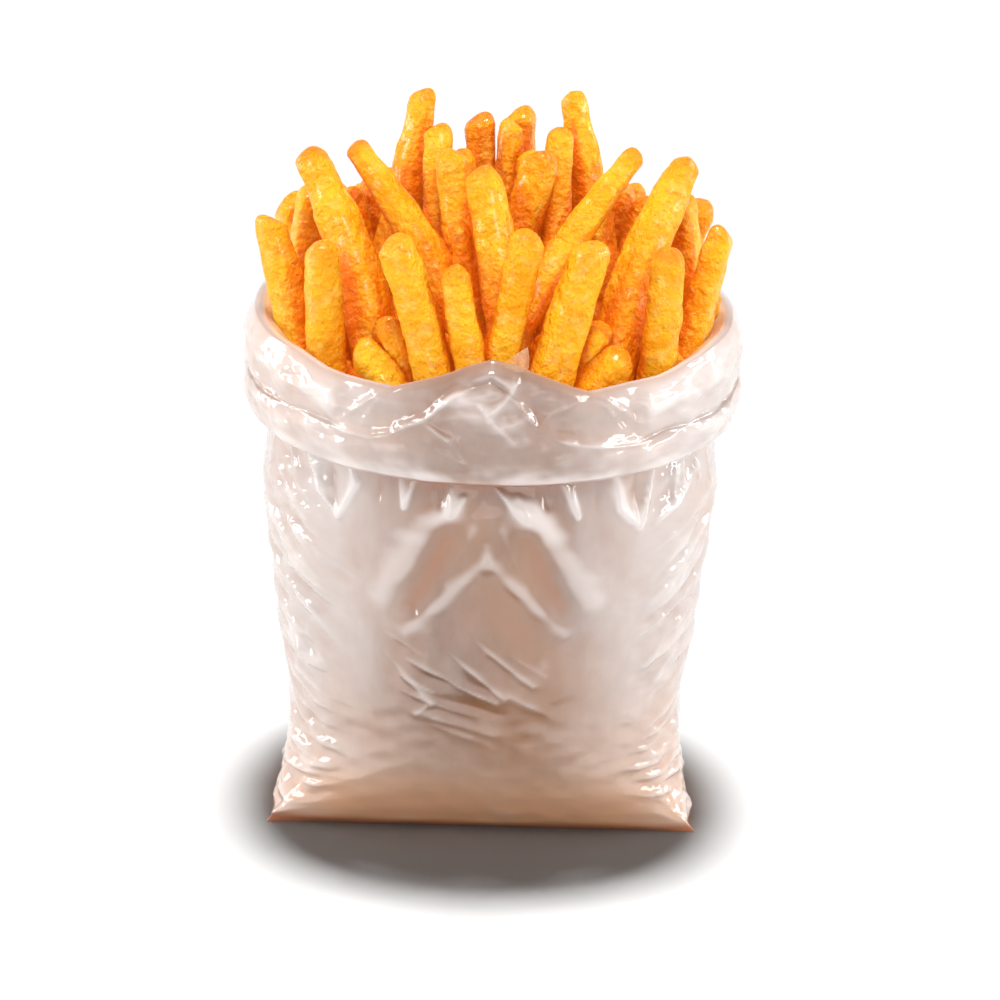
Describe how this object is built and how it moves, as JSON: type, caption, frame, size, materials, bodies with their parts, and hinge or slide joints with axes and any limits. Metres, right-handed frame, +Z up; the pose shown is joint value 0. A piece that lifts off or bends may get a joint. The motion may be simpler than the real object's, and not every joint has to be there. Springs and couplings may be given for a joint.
{
  "type": "french fries in a film bag",
  "caption": "Heap of french fries standing in an open translucent film bag, its mouth rolled down into a thick cuff and its flat base ending at the front in a straight seam with two pointed corners.",
  "frame": {"origin": "middle of the whole part's footprint, on the surface that the bag stands on", "axes": "+Z up, -Y towards the front of the bag, where the rim dips and a loose corner of film stands up, +X to the right"},
  "size_m": [0.1256, 0.1188, 0.1816],
  "materials": {
    "film": "glossy pearly film, milky where it is doubled, with fine wrinkles",
    "fried_potato": "crisp golden fried potato, browner at the ends, with a slight oily sheen"
  },
  "bodies": {
    "root": {"bag": "film", "fries": "fried_potato"}
  },
  "joints": []
}
